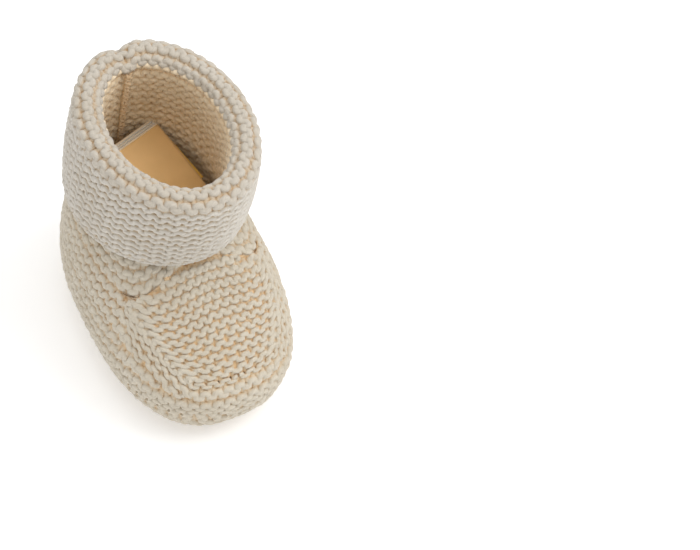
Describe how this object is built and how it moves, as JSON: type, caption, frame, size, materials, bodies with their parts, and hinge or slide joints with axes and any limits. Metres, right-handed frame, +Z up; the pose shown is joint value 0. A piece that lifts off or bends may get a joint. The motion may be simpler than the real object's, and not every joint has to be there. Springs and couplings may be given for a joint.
{
  "type": "baby bootie",
  "caption": "Garter stitch knitted baby bootie with a turned-down cuff, a narrowing instep, a cupped sole and a blank sewn-in label.",
  "frame": {"origin": "on the floor under the middle of the foot's length and width", "axes": "-Y towards the toe, +Y towards the heel, +Z up, +X to the right of someone facing along +Y"},
  "size_m": [0.0588, 0.0954, 0.0885],
  "materials": {
    "knit_foot": "soft cotton and wool yarn in garter stitch",
    "knit_leg": "soft cotton and wool yarn in garter stitch, warmer inside",
    "knit_cuff": "soft cotton and wool yarn in garter stitch, palest on the cuff",
    "seam_yarn": "same yarn, sewn",
    "label_ribbon": "woven satin ribbon, blank",
    "sewing_thread": "twisted white thread"
  },
  "bodies": {
    "foot": {"sole": "knit_foot", "sole_join": "knit_foot", "foot_sides": "knit_foot", "vamp": "knit_foot", "vamp_join_left": "knit_foot", "vamp_join_right": "knit_foot"},
    "leg": {"leg": "knit_leg", "leg_seam": "seam_yarn", "cuff_fold": "knit_cuff", "cuff": "knit_cuff", "cuff_edge": "knit_cuff", "cuff_seam": "seam_yarn", "label_hem": "label_ribbon", "label_stitching": "sewing_thread"},
    "label": {"label_flap": "label_ribbon"}
  },
  "joints": [
    {"name": "ankle_flex", "type": "hinge", "parent": "foot", "child": "leg", "pos_m": [0, 0.0445, 0.041], "axis": [-1, 0, 0], "range_deg": [0, 16]},
    {"name": "label_flap", "type": "hinge", "parent": "leg", "child": "label", "pos_m": [0.0008, 0.02969, 0.0547], "axis": [-0.9563, -0.2924, 0], "range_deg": [-45, 15], "stiffness_Nm_per_rad": 0.002}
  ]
}
